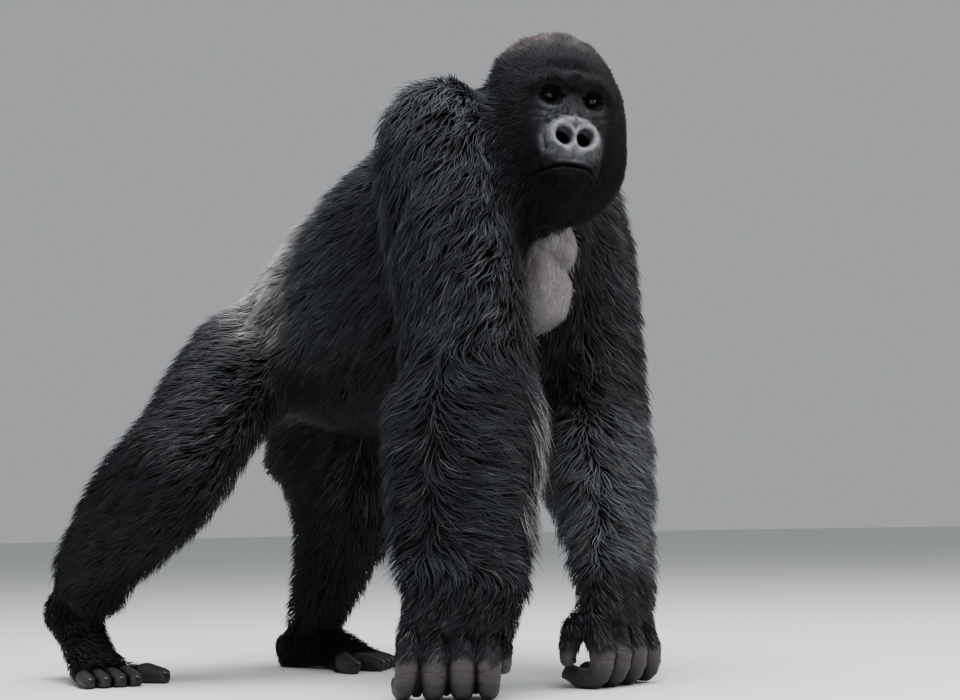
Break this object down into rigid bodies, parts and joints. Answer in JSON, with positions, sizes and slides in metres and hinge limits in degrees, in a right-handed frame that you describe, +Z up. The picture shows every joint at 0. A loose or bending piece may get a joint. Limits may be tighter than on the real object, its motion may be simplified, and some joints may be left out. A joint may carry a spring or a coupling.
{
  "type": "mountain gorilla figure",
  "caption": "Life-size still figure of an adult male mountain gorilla standing on its knuckles and feet, one hind leg trailing, head turned to its right.",
  "frame": {"origin": "middle of the bounding box on the floor plane", "axes": "+Z up, the chest faces -Y, the animal's right side is towards -X"},
  "size_m": [0.7822, 1.2642, 1.2052],
  "materials": {
    "coat": "dense black hair, matt",
    "skin": "bare dark skin, slightly glossy",
    "eye": "wet, polished"
  },
  "bodies": {
    "root": {"head": "coat", "ear_right": "skin", "ear_left": "skin", "eye_right": "eye", "eye_left": "eye", "neck": "coat", "trunk": "coat", "upper_arm_right": "coat", "upper_arm_left": "coat", "forearm_right": "coat", "forearm_left": "coat", "hand_right": "skin", "hand_left": "skin", "thigh_right": "coat", "thigh_left": "coat", "shank_right": "coat", "shank_left": "coat", "foot_right": "skin", "foot_left": "skin"}
  },
  "joints": []
}
